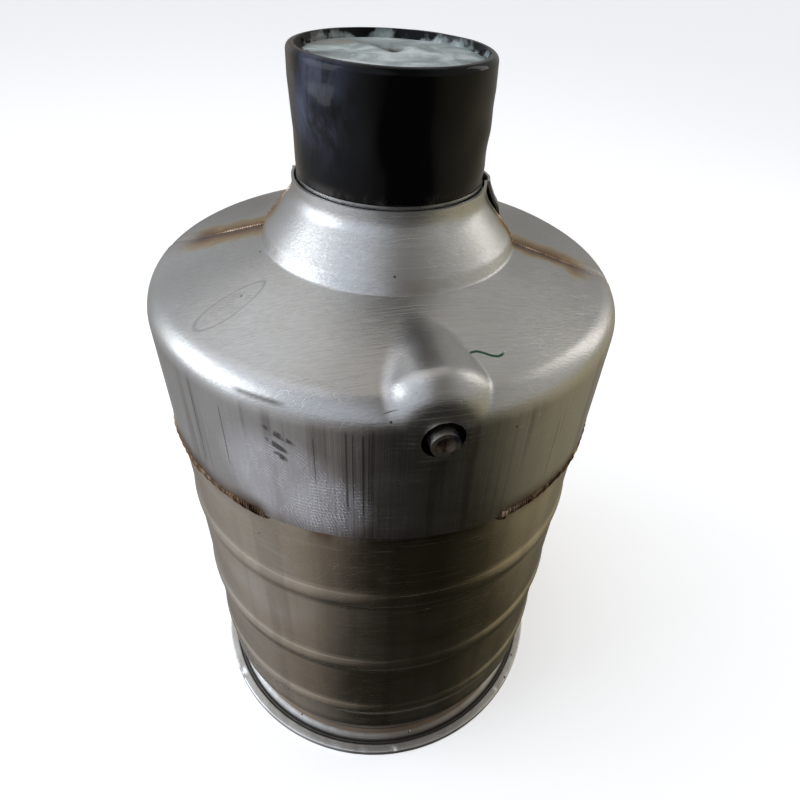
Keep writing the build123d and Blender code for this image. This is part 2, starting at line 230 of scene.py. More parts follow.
def hood_distance(points):
    """Distance outside the round hood over the port, whose front edge is rolled over."""
    across = np.hypot(points[..., 0], points[..., 2] - PORT_Z) - (HOOD_R - HOOD_ROLL)
    ahead = radius_from_axis(points) - (HOOD_FRONT - HOOD_ROLL)
    across = np.where(points[..., 1] < 0, across, HOOD_R)
    outside = np.hypot(np.maximum(across, 0), np.maximum(ahead, 0))
    return outside + np.minimum(np.maximum(across, ahead), 0) - HOOD_ROLL


def hooded_distance(points):
    """Both shapes joined, with a soft hollow on the hood's left and a crisp crease on its right."""
    softness = (3.2 - 2.3 * step_up(points[..., 0], -8 * MM, 12 * MM)) * MM
    softness = 0.3 * MM + softness * step_up(points[..., 2], 386 * MM, 400 * MM)
    plain, hood = plain_shoulder_distance(points), hood_distance(points)
    near = np.maximum(softness - np.abs(plain - hood), 0) / softness
    return np.minimum(plain, hood) - near * near * softness / 4


def onto_hooded(points, way, start=30 * MM, steps=60):
    """Points moved out along a direction and back in until they meet the hooded shoulder."""
    at = points + way * start
    for _ in range(steps):
        at = at - way * hooded_distance(at)[..., None]
    return at


def dented(points, normals, depth, seed, length):
    return points + normals * (waves(points, seed, length) * depth)[..., None]


DENT_DEPTH = 0.13 * MM
DENT_LENGTH = 70 * MM
FRONT_FINE = 17.0             # bearings either side of the port with fine columns
HOLE_PATCH = 6.4              # half width of the square patch round the port hole, in degrees
HOLE_PATCH_Z = (PORT_Z - 17 * MM, PORT_Z + 16 * MM)
HOLE_RINGS = 7                # rings of faces between the patch's border and the hole


def with_port_hole(points, bearings, heights):
    """The front skin's points and faces, with a square patch of them opened into the port hole."""
    wide = np.flatnonzero(np.abs(bearings) <= HOLE_PATCH)
    tall = np.flatnonzero((heights > HOLE_PATCH_Z[0]) & (heights < HOLE_PATCH_Z[1]))
    i0, i1, j0, j1 = wide[0], wide[-1], tall[0], tall[-1]
    columns, count = points.shape[:2]
    faces = grid_faces(columns, count, skip=lambda i, j: i0 <= i < i1 and j0 <= j < j1)
    loop = [(i, j0) for i in range(i0, i1)] + [(i1, j) for j in range(j0, j1)]
    loop += [(i, j1) for i in range(i1, i0, -1)] + [(i0, j) for j in range(j1, j0, -1)]
    loop = [i * count + j for i, j in loop]
    flat = points.reshape(-1, 3)
    border = flat[loop]
    angle = np.arctan2(border[:, 2] - PORT_Z, border[:, 0])
    reach = PORT_HOLE_R + 0.3 * MM * np.sin(angle * 2 + 0.6) + 0.16 * MM * np.sin(angle * 3 + 2)
    reach += 0.12 * MM * np.sin(angle * 11) * step_up(np.sin(angle), 0.2, 0.8)
    hole = np.stack([reach * np.cos(angle), border[:, 1], PORT_Z + reach * np.sin(angle)], -1)
    outwards = np.broadcast_to(np.array([0, -1.0, 0]), hole.shape)
    rings = [loop]
    extra = []
    for k in range(1, HOLE_RINGS + 1):
        share = (k / HOLE_RINGS) ** 0.8
        ring = border * (1 - share) + hole * share
        ring[:, 1] = -120 * MM
        ring = onto_hooded(ring, outwards, 60 * MM)
        lip = 0.25 * MM * step_up(share, 0.75, 1)
        extra.append(ring + np.array([0, lip, 0]))
        rings.append([len(flat) + (k - 1) * len(loop) + n for n in range(len(loop))])
    for a, b in zip(rings, rings[1:]):
        faces += [(a[n], a[n - 1], b[n - 1], b[n]) for n in range(len(loop))]
    return np.concatenate([flat] + extra), faces


def front_skin():
    """The front half of the shoulder, with the hood raised and the port hole cut."""
    outline = rounded(SHOULDER_CORNERS, SHOULDER_RADII, 1.3 * MM)
    bearings = np.concatenate([
        np.arange(SEAM_BEARING - 180, -FRONT_FINE, 1.0),
        np.arange(-FRONT_FINE, FRONT_FINE, 0.4),
        np.arange(FRONT_FINE, SEAM_BEARING, 1.0),
        [SEAM_BEARING],
    ])
    points, normals = revolved(outline, bearings)
    near = np.abs(bearings) < FRONT_FINE * 1.6
    rows = outline[:, 1] < CREASE_Z
    part = np.ix_(near, rows)
    points[part] = onto_hooded(points[part], normals[part])
    points = dented(points, normals, DENT_DEPTH, 3, DENT_LENGTH)
    pressed = hump(bearing_of(points), -34, 16) * hump(points[..., 2], 350 * MM, 40 * MM)
    points -= normals * (pressed * 0.5 * MM)[..., None]

    points, faces = with_port_hole(points, bearings, outline[:, 1])
    return mesh_piece("shoulder_front", points, faces, SHEET)


JOGGLE = 0.9 * MM             # how far the rear half dips under the front half's edge
JOGGLE_WIDTH = 9 * MM
FLARE = 5.4 * MM              # how far its collar stands out beside the right-hand seam


def from_seam(points):
    """Distance round the vessel from the nearer seam."""
    turn = np.radians(bearing_of(points) - SEAM_BEARING)
    return radius_from_axis(points) * np.abs(np.sin(turn))


def rear_skin():
    """The rear half, dipped along its seams and flared at the collar beside the right-hand seam."""
    outline = rounded(SHOULDER_CORNERS, SHOULDER_RADII, 1.6 * MM)
    bearings = np.concatenate([
        SEAM_BEARING + np.arange(0, 12, 0.5), SEAM_BEARING + np.arange(12, 168, 1.0),
        SEAM_BEARING + np.arange(168, 180.1, 0.5),
    ])
    points, normals = revolved(outline, bearings)
    dip = (1 - step_up(from_seam(points), 0.3 * JOGGLE_WIDTH, JOGGLE_WIDTH)) * JOGGLE
    z = points[..., 2]
    height = step_up(z, 436 * MM, 449 * MM) * (1 - 0.45 * step_up(z, 452 * MM, 461 * MM))
    past = np.broadcast_to((bearings - SEAM_BEARING)[:, None], height.shape)
    flare = FLARE * height * (1 - step_up(past, 4, 34))
    outwards = points * np.array([1, 1, 0]) / radius_from_axis(points)[..., None]
    points = dented(points, normals, DENT_DEPTH, 5, DENT_LENGTH) - normals * dip[..., None]
    points = points + outwards * flare[..., None]
    return grid_piece("shoulder_rear", points, thickness=SHEET)


# ---- welds
def bead(name, path, up, side, widths, heights):
    """A closed bead of weld along a path, as wide and as high as given at each point."""
    turns = np.linspace(0, 2 * pi, 10, endpoint=False)
    rings = (
        path[:, None]
        + side[:, None] * (widths[:, None] * np.cos(turns))[..., None]
        + up[:, None] * (heights[:, None] * np.sin(turns))[..., None]
    )
    count, around = rings.shape[:2]
    ends = [tuple(reversed(range(around))), tuple(range((count - 1) * around, count * around))]
    return mesh_piece(name, rings.reshape(-1, 3), grid_faces(count, around, along=True) + ends)


PUDDLE = 1.7 * MM             # length of one scale of a weld
SURGE = 23 * MM               # and of its slower swelling


def ripples(along, seed):
    """The scales of a weld bead laid in overlapping puddles."""
    rng = np.random.default_rng(seed)
    drift = np.cumsum(rng.normal(0, 0.05, len(along)))
    puddles = np.abs(np.sin(along * pi / PUDDLE + drift))
    return 1 - 0.45 * puddles + 0.12 * np.sin(along * pi / SURGE + seed)


def seam_weld(name, bearing, seed):
    """The weld down one side of the shoulder: proud over the hub, dressed nearly flush further out."""
    outline = rounded(SHOULDER_CORNERS, SHOULDER_RADII, 0.4 * MM)
    points, normals = revolved(outline[:-3], [bearing])
    path, up = points[0], normals[0]
    along = np.concatenate([[0], np.cumsum(np.linalg.norm(np.diff(path, axis=0), axis=1))])
    side = np.tile([cos(radians(bearing)), sin(radians(bearing)), 0.0], (len(path), 1))
    proud = 1 - 0.78 * step_up(radius_from_axis(path), 96 * MM, 122 * MM)
    scale = ripples(along, seed) * proud
    sunk = 0.5 * MM
    return bead(name, path - up * sunk, up, side, 1.5 * MM * np.sqrt(scale), sunk + 0.75 * MM * scale)


GIRTH_R = radius_of("girth_weld")
GIRTH_LAP = 3.2 * MM          # how far the weld climbs over the skirt's edge
GIRTH_DROP = SKIRT_Z - bottom_of("girth_weld")
DRESSED = (-37.0, 15.5)       # bearings between which the girth weld is ground away
BLOB_BEARING = 17.9           # where its right-hand run starts with a proud blob


def girth_weld():
    """The fillet weld under the skirt: scaly round the sides and back, ground away across the front."""
    turns = np.arange(0, 360, 0.2) - 180.0
    profile = np.array([
        (BODY_R - 0.6 * MM, SKIRT_Z),
        (SKIRT_R - 0.7 * MM, SKIRT_Z + GIRTH_LAP), (SKIRT_R, SKIRT_Z + GIRTH_LAP),
        (SKIRT_R + 0.7 * MM, SKIRT_Z + 0.45 * GIRTH_LAP), (SKIRT_R + 0.5 * MM, SKIRT_Z - 0.1 * GIRTH_DROP),
        (BODY_R + 1.3 * MM, SKIRT_Z - 0.65 * GIRTH_DROP), (BODY_R + 0.3 * MM, SKIRT_Z - 0.95 * GIRTH_DROP),
        (BODY_R - 0.6 * MM, SKIRT_Z - GIRTH_DROP),
    ])
    points, _ = revolved(profile, turns)
    shown = step_up(turns, DRESSED[1], DRESSED[1] + 2) + 1 - step_up(turns, DRESSED[0] - 2, DRESSED[0])
    scale = ripples(np.radians(turns) * GIRTH_R, 11)
    swell = (0.15 + 0.85 * shown) * (0.45 + 0.75 * scale)
    sag = 1.0 * MM * (waves(points[:, 0], 21, 35 * MM) + 0.6) * shown
    outer = slice(1, 7)
    r = radius_from_axis(points)
    new_r = r.copy()
    new_r[:, outer] = BODY_R - 0.3 * MM + (r[:, outer] - BODY_R + 0.3 * MM) * swell[:, None]
    blob = hump(turns, BLOB_BEARING, 1.3)[:, None] * (r > BODY_R)
    points[..., :2] *= ((new_r + 1.3 * MM * blob) / r)[..., None]
    points[:, 5:7, 2] -= sag[:, None]
    points[:, 1:4, 2] += 0.5 * sag[:, None]
    return grid_piece("girth_weld_bead", points, True, True, crisp=60)


# ---- body and foot
def body_skin():
    """The rolled body with its three swaged beads, slightly out of true."""
    half = BEAD_HALF_WIDTH
    round_r = (half * half + BEAD_HEIGHT * BEAD_HEIGHT) / (2 * BEAD_HEIGHT)
    levels = [BODY_TOP_Z]
    for middle in BEAD_LEVELS:
        levels += [middle + half * k / 7 for k in range(7, -8, -1)]
    levels = [Vector((0, z)) for z in levels + [BODY_BOTTOM_Z]]
    z = np.array([p[1] for p in filled(levels, 4.5 * MM)])
    r = np.full(len(z), BODY_R)
    for middle in BEAD_LEVELS:
        inside = np.abs(z - middle) < half
        r[inside] += np.sqrt(round_r ** 2 - (z[inside] - middle) ** 2) - round_r + BEAD_HEIGHT
    points, normals = revolved(np.stack([r, z], -1), np.arange(0, 360, 1.2))
    points = dented(points, normals, 0.2 * MM, 8, 110 * MM)
    points = dented(points, normals, 0.07 * MM, 9, 38 * MM)
    return grid_piece("body_skin", points, around=True, thickness=SHEET)


FOOT_R = radius_of("foot_ring")
FOOT_BORE = 131 * MM
FOOT_TOP = top_of("foot_ring")
FOOT_RIM = 6 * MM
FOOT_CORNERS = (
    (FOOT_BORE, FOOT_TOP), (FOOT_BORE, 0), (FOOT_R, 0), (FOOT_R, FOOT_RIM), (148.6 * MM, FOOT_RIM),
    (146.6 * MM, 3.5 * MM), (144.6 * MM, 8.6 * MM), (139 * MM, FOOT_TOP), (FOOT_BORE + 0.4 * MM, FOOT_TOP),
)
FOOT_RADII = tuple(k * MM for k in (0.4, 0.6, 1.2, 1.0, 1.0, 2.2, 3.0))
# bearing, width in degrees and depth in millimetres of each knock
NICKS = ((-5.5, 1.5, 1.1), (-69, 2.6, 2.2), (38, 1.2, 0.9), (118, 2, 1.2), (171, 1.6, 1.3), (-137, 2.2, 1.0))


def foot_skin():
    """The foot ring, a little uneven, with knocks along its rim."""
    outline = rounded(FOOT_CORNERS, FOOT_RADII, 1.6 * MM)[::-1]
    bearings = np.arange(-180, 180, 0.5)
    points, normals = revolved(outline, bearings)
    z = points[..., 2].copy()
    points = dented(points, normals, 0.10 * MM, 14, 9 * MM)
    rim = step_up(radius_from_axis(points), 150.5 * MM, 154 * MM) * step_up(z, 2.5 * MM, 5.5 * MM)
    for bearing, width, depth in NICKS:
        near = hump(bearings, bearing, width)[:, None] * rim
        points[..., 2] -= near * depth * MM
        points[..., :2] *= 1 - near[..., None] * depth * 0.4 * MM / FOOT_R
    points[..., 2] = np.where(z < 0.3 * MM, z, points[..., 2])
    points[..., :2] *= np.minimum(1, FOOT_R / radius_from_axis(points))[..., None]
    return grid_piece("foot_skin", points, True, True, crisp=50)


# ---- cap
CAP_BOTTOM = bottom_of("lid_cap")
CAP_TOP = top_of("lid_cap")
CAP_CORNERS = (
    (52.1 * MM, CAP_BOTTOM + 0.6 * MM), (52.7 * MM, CAP_BOTTOM), (54.9 * MM, CAP_BOTTOM),
    (54.1 * MM, 486 * MM), (55.6 * MM, 512 * MM),
    (55.4 * MM, CAP_TOP - 0.05 * MM), (51.6 * MM, CAP_TOP - 0.05 * MM), (50.4 * MM, 522.8 * MM),
)
CAP_RADII = tuple(k * MM for k in (0.5, 0.9, 40, 40, 3.2, 0.5))
CAP_CEILING = 520 * MM
DIMPLE = (1 * MM, 13 * MM)    # place of the pinched dimple in the cap's top


def cap_skin():
    """The soft cap: waisted wall with dents, rolled edge, and a sagging top with a pinched dimple."""
    wall = rounded(CAP_CORNERS, CAP_RADII, 1.2 * MM)
    radii = np.linspace(wall[-1][0], 0, 40)[1:]
    crown_z = wall[-1][1] + (CAP_TOP - 0.9 * MM - wall[-1][1]) * (1 - (radii / wall[-1][0]) ** 2)
    outer = np.concatenate([wall, np.stack([np.maximum(radii, 0.02 * MM), crown_z], -1)])
    inner = np.array([(0.02 * MM, CAP_CEILING), (49 * MM, CAP_CEILING), (52.1 * MM, CAP_CEILING - 3 * MM)])
    bearings = np.arange(-180, 180, 2.0)
    points, normals = revolved(outer, bearings)
    x, y, z = points[..., 0], points[..., 1], points[..., 2]
    r = radius_from_axis(points)
    wall_part = step_up(z, CAP_BOTTOM + 1 * MM, CAP_BOTTOM + 9 * MM) * step_up(r, 49 * MM, 53 * MM)
    sag = (waves(points, 31, 34 * MM) - 1) * 0.42 * MM * wall_part
    bearing = bearing_of(points)
    sag -= 1.5 * MM * hump(bearing, -47, 26) * hump(z, 503 * MM, 15 * MM)
    sag -= 1.0 * MM * hump(bearing, -20, 14) * hump(z, 496 * MM, 20 * MM)
    sag -= 1.2 * MM * hump(bearing, 62, 24) * hump(z, 491 * MM, 15 * MM)
    points = points + normals * sag[..., None]
    top = 1 - step_up(r, 44 * MM, 50 * MM)
    dish = 2.4 * MM * step_up(-(r - 49 * MM), 0, 34 * MM)
    away = np.hypot((x - DIMPLE[0]), (y - DIMPLE[1]) * 1.3)
    turn = np.arctan2(y - DIMPLE[1], x - DIMPLE[0])
    swirl = np.sin(turn * 2 + away / (7 * MM)) * np.exp(-((away - 11 * MM) / (9 * MM)) ** 2)
    pinch = 2.6 * MM * np.exp(-(away / (6.5 * MM)) ** 2) - 2.2 * MM * np.exp(-(away / (2.4 * MM)) ** 2)
    creases = 0.25 * MM * waves(points, 37, 16 * MM)
    points[..., 2] += top * (creases + 0.9 * MM * swirl - pinch - dish)
    inner_points, _ = revolved(inner, bearings)
    points = np.concatenate([points, inner_points], 1)
    points[..., 2] = np.minimum(points[..., 2], CAP_TOP)
    faces = [face[::-1] for face in grid_faces(*points.shape[:2], True, True)]
    return mesh_piece("cap_skin", points.reshape(-1, 3), faces, crisp=60)


# ---- shader arithmetic
def maths_method(operation, swapped=False):
    """A method that puts a maths node after a value, or with its operands swapped."""
    def apply(self, *others):
        return self.nodes.math(operation, *((*others, self) if swapped else (self, *others)))

    return apply


class Value:
    """What a shader node gives out. It adds, subtracts, multiplies and divides like a number."""

    __add__ = maths_method("ADD")
    __radd__ = maths_method("ADD", True)
    __sub__ = maths_method("SUBTRACT")
    __rsub__ = maths_method("SUBTRACT", True)
    __mul__ = maths_method("MULTIPLY")
    __truediv__ = maths_method("DIVIDE")
    __abs__ = maths_method("ABSOLUTE")

    def __init__(self, nodes, socket):
        self.nodes = nodes
        self.socket = socket

    def span(self, low, high, out_low=0.0, out_high=1.0):
        """This value from low to high, as out_low to out_high, smooth and clamped."""
        ends = (self, low, high, out_low, out_high)
        return self.nodes.out("ShaderNodeMapRange", *ends, interpolation_type="SMOOTHSTEP")

    def fall(self, low, high):
        """1 below low, 0 above high, smooth between."""
        return self.span(low, high, 1.0, 0.0)

    def near(self, middle, half_width):
        """1 where this value is at the middle, down to 0 half a width away."""
        return abs(self - middle).fall(0.0, half_width)


class Nodes:
    """Short calls for the shader nodes of one tree, whose patterns use one kind of coordinate."""

    def __init__(self, tree, coordinate):
        self.tree = tree
        self.place = Value(self, self.make("ShaderNodeTexCoord").outputs[coordinate])

    def make(self, kind, *values, **settings):
        """A node with these values on its first inputs. A capitalised setting is an input as well."""
        made = self.tree.nodes.new(kind)
        for key, value in settings.items():
            if key[0].isupper():
                self.feed(made.inputs[key], value)
            else:
                setattr(made, key, value)
        for socket, value in zip(made.inputs, values):
            self.feed(socket, value)
        return made

    def out(self, kind, *values, output=0, **settings):
        """One output of such a node."""
        return Value(self, self.make(kind, *values, **settings).outputs[output])

    def feed(self, socket, value):
        if isinstance(value, Value):
            self.tree.links.new(value.socket, socket)
        elif socket.type == "RGBA":
            socket.default_value = (*value, 1)
        else:
            socket.default_value = value

    def math(self, operation, *values):
        return self.out("ShaderNodeMath", *values, operation=operation)

    def length(self, a, b):
        return self.math("SQRT", a * a + b * b)

    def ridges(self, value, pitch):
        """Even waves along a value, from -1 to 1, this far apart."""
        return self.math("SINE", value * (2 * pi / pitch))

    def xyz(self):
        return [Value(self, socket) for socket in self.make("ShaderNodeSeparateXYZ", self.place).outputs]

    def combine(self, x, y, z):
        return self.out("ShaderNodeCombineXYZ", x, y, z)

    def scaled(self, scale, turn=(0, 0, 0), shift=(0, 0, 0)):
        """The place stretched by three scales."""
        return self.out("ShaderNodeMapping", Vector=self.place, Scale=scale, Rotation=turn, Location=shift)

    def noise(self, where, detail=3.0, roughness=0.55, distortion=0.0, **mapping):
        """Uneven patches over a coordinate, or over the place stretched by three scales."""
        where = where if isinstance(where, Value) else self.scaled(where, **mapping)
        settings = {"Scale": 1.0, "Detail": detail, "Roughness": roughness, "Distortion": distortion}
        return self.out("ShaderNodeTexNoise", where, output="Fac", **settings)

    def cells(self, scale, output="Distance", where=None, **settings):
        """Cells of random shape: the distance to a cell's middle, or its colour."""
        return self.out("ShaderNodeTexVoronoi", where or self.place, output=output, Scale=scale, **settings)

    def chance(self, scale):
        """A random number for each of those cells."""
        return self.out("ShaderNodeSeparateColor", self.cells(scale, "Color"))

    def ramp(self, value, stops):
        """A colour for each value between 0 and 1, from the colours at some of them."""
        made = self.make("ShaderNodeValToRGB", value)
        elements = made.color_ramp.elements
        while len(elements) < len(stops):
            elements.new(1.0)
        for element, (place, color) in zip(elements, stops.items()):
            element.position = place
            element.color = (*color, 1)
        return Value(self, made.outputs["Color"])

    def mix(self, share, a, b):
        """Colour a, with this share of colour b."""
        made = self.make("ShaderNodeMix", share, data_type="RGBA")
        self.feed(made.inputs[6], a)
        self.feed(made.inputs[7], b)
        return Value(self, made.outputs[2])


class Paint(Nodes):
    """One material, in the object's own coordinates in metres. Its colour is built up in coats."""

    def __init__(self, name, color=(0.5, 0.5, 0.5), metallic=0.0, roughness=0.5, **constants):
        self.material = bpy.data.materials.new(name)
        self.material.use_nodes = True
        super().__init__(self.material.node_tree, "Object")
        self.shader = self.tree.nodes["Principled BSDF"]
        self.color = color
        self.rough = roughness
        for key, value in {"Metallic": metallic, **constants}.items():
            self.shader.inputs[key].default_value = value

    def coat(self, share, color):
        self.color = self.mix(share, self.color, color)

    def bump(self, *layers):
        """Layers of (height, depth in metres), from the coarsest to the finest."""
        normal = self.out("ShaderNodeBump", Height=layers[0][0], Distance=layers[0][1])
        for height, depth in layers[1:]:
            normal = self.out("ShaderNodeBump", Height=height, Distance=depth, Normal=normal)
        self.feed(self.shader.inputs["Normal"], normal)

    def finish(self):
        self.feed(self.shader.inputs["Base Color"], self.color)
        self.feed(self.shader.inputs["Roughness"], self.rough)
        return self.material

    def round_place(self):
        """Bearing in radians, radius and height of each point."""
        x, y, z = self.xyz()
        return self.math("ARCTAN2", x, y * -1.0), self.length(x, y), z

    def scratches(self, *runs):
        """Sparse fine lines. Each run of them has its own turn, scale, sharpness and seed."""
        lines = 0.0
        for turn, scale, sharpness, seed in runs:
            shift = (seed, seed * 0.37, 0)
            fine = self.noise((scale * 0.02, scale, scale), 1.0, 0.4, 0.15, turn=turn, shift=shift)
            lines += abs(fine - 0.5).fall(0.0, sharpness)
        return lines

    def specks(self, scale, size, share):
        """Small scattered spots, in this share of the cells."""
        return self.cells(scale).fall(size * 0.5, size) * self.chance(scale).fall(share, share + 0.02)


# ---- steel
DIRT = (0.035, 0.028, 0.02)
# heat tint, from the weld outwards: blue, bronze, straw, and the plain steel
HEAT_TONES = {
    0.0: (0.10, 0.10, 0.14), 0.22: (0.22, 0.14, 0.085), 0.5: (0.44, 0.33, 0.20), 0.85: (0.52, 0.46, 0.36),
    1.0: (0.52, 0.50, 0.47),
}
# the tones that each metal's cloudiness runs through
SHOULDER_TONES = {0.25: (0.43, 0.42, 0.405), 0.5: (0.50, 0.49, 0.47), 0.75: (0.57, 0.57, 0.56)}
BODY_TONES = {0.28: (0.36, 0.305, 0.22), 0.5: (0.47, 0.41, 0.325), 0.74: (0.56, 0.52, 0.45)}
WELD_TONES = {
    0.3: (0.10, 0.065, 0.045), 0.5: (0.34, 0.21, 0.12), 0.66: (0.62, 0.5, 0.36), 0.8: (0.80, 0.78, 0.74),
}
FOOT_TONES = {0.3: (0.50, 0.49, 0.47), 0.55: (0.66, 0.65, 0.63), 0.75: (0.74, 0.74, 0.73)}


def heat_tint(paint, distance, reach, strength):
    """Straw, brown and blue bands beside a weld, by distance from it."""
    uneven = paint.noise((40, 40, 40))
    share = distance / (uneven.span(0.3, 0.7, 0.55, 1.35) * reach)
    paint.coat(share.fall(0.55, 1.0) * strength, paint.ramp(share, HEAT_TONES))


def seam_distance(paint):
    """Distance from the plane of the shoulder's two seams."""
    x, y, _ = paint.xyz()
    return abs(x * cos(radians(SEAM_BEARING)) + y * sin(radians(SEAM_BEARING)))


def between(bearing, low, high, soft=(1, 1)):
    """1 between two bearings in degrees, over soft edges."""
    rise = bearing.span(radians(low), radians(low + soft[0]))
    return rise * bearing.fall(radians(high - soft[1]), radians(high))


def shoulder_steel(name, front):
    """Satin pressed steel, drawn upright on the wall, with heat tint beside the welds."""
    paint = Paint(name, metallic=1.0)
    bearing, radius, z = paint.round_place()
    wall = z.fall(0.386, 0.397)
    cloud = paint.noise((9, 9, 12), 4.0, 0.55, 0.4)
    mottle = paint.noise((45, 45, 60), 5.0, 0.6)
    rolled = paint.noise((14, 900, 900), 3.0, 0.6)
    drawn = paint.noise((420, 420, 5), 3.0, 0.65)
    streaks = paint.noise((90, 90, 3.5), 2.0, 0.6)
    grain = rolled * (1.0 - wall) + drawn * wall

    paint.color = paint.ramp(cloud, SHOULDER_TONES)
    paint.coat(mottle.span(0.5, 0.75) * 0.35, (0.50, 0.475, 0.43))
    paint.coat(grain.span(0.35, 0.75, 0.0, 0.30), (0.33, 0.32, 0.31))
    # painted shade: the upright wall is made darker than the cone of the same sheet
    paint.coat(wall * 0.42, (0.19, 0.175, 0.155))
    paint.coat(wall * streaks.span(0.56, 0.68) * 0.55, (0.16, 0.145, 0.13))
    paint.rough = cloud.span(0.3, 0.7, 0.25, 0.36) + grain * 0.10

    # the lower wall is dull with handling
    paint.coat(z.fall(0.31, 0.335) * mottle.span(0.35, 0.6) * 0.45, (0.25, 0.21, 0.18))

    hairs = paint.scratches(
        ((0.3, 0.2, 0.5), 160, 0.008, 3.1), ((0.1, 1.2, 1.9), 130, 0.007, 7.7),
        ((0.9, 0.4, 2.7), 210, 0.006, 1.9),
    )
    hairs *= paint.noise((22, 22, 22), 2.0).span(0.45, 0.6)
    paint.coat(hairs * 0.22, (0.72, 0.72, 0.70))
    paint.coat(paint.specks(75, 0.07, 0.22) * 0.85, DIRT)
    tinted = radius.span(0.118, 0.138, 1.0, 0.12) * radius.span(0.060, 0.072)
    heat_tint(paint, seam_distance(paint), 0.020, tinted)

    layers = [(mottle, 0.00018), (grain, 0.00012)]
    if front:
        layers.append((front_marks(paint, bearing, radius, z), 0.0001))

    # a brown lip beside the girth weld, weaker where that is ground away
    dressed = between(bearing, DRESSED[0] - 3, DRESSED[1] + 3, (4, 4))
    ragged_z = z + (paint.noise((18, 18, 6)) - 0.5) * 0.016
    paint.coat(ragged_z.near(SKIRT_Z, 0.017) * (1.0 - dressed * 0.75) * 1.15, (0.11, 0.07, 0.05))
    paint.bump(*layers, (hairs, -0.00003))
    return paint.finish()


def oval(paint, u, v, centre, size, tilt=0.0):
    """How far out each point of a (u, v) surface in metres lies, with 1 on the oval's edge."""
    across, up = u - centre[0], v - centre[1]
    along = across * cos(tilt) + up * sin(tilt)
    side = up * cos(tilt) - across * sin(tilt)
    return paint.length(along / size[0], side / size[1])


def on_wall(bearing):
    """How far round the skirt a bearing in degrees lies, in metres."""
    return radians(bearing) * SKIRT_R


GRIND_CENTRE = (on_wall(-47), 0.296)     # what the grinding marks sweep round
GRIND_LEFT = ((on_wall(-31), 0.340), (0.052, 0.040), -0.5)
GRIND_RIGHT = ((on_wall(-22), 0.330), (0.028, 0.030))
# bearing, height and half length of each dark rub above the grinding
RUBS = ((-32.0, 0.3785, 0.0115), (-32.6, 0.3705, 0.0085), (-32.0, 0.3635, 0.0055))
# bearing, half width, top and bottom of each draw line, left of the port and far right
DRAW_LINES = (
    (-18.4, 0.0011, 0.392, 0.325), (-17.2, 0.0005, 0.392, 0.333), (-15.2, 0.0008, 0.390, 0.320),
    (-14.1, 0.0004, 0.390, 0.330), (-24.8, 0.0005, 0.385, 0.345), (29.4, 0.0006, 0.372, 0.318),
    (31.0, 0.0004, 0.378, 0.350), (-46.0, 0.0007, 0.385, 0.335), (-55.0, 0.0009, 0.390, 0.320),
)
DRESSED_OVAL = (-59.3, 0.1135)           # bearing and radius of its middle, on the cone
GREEN_STROKE = (13.6, 0.122)             # and of the green stroke's
STROKE_WAVE = 0.024


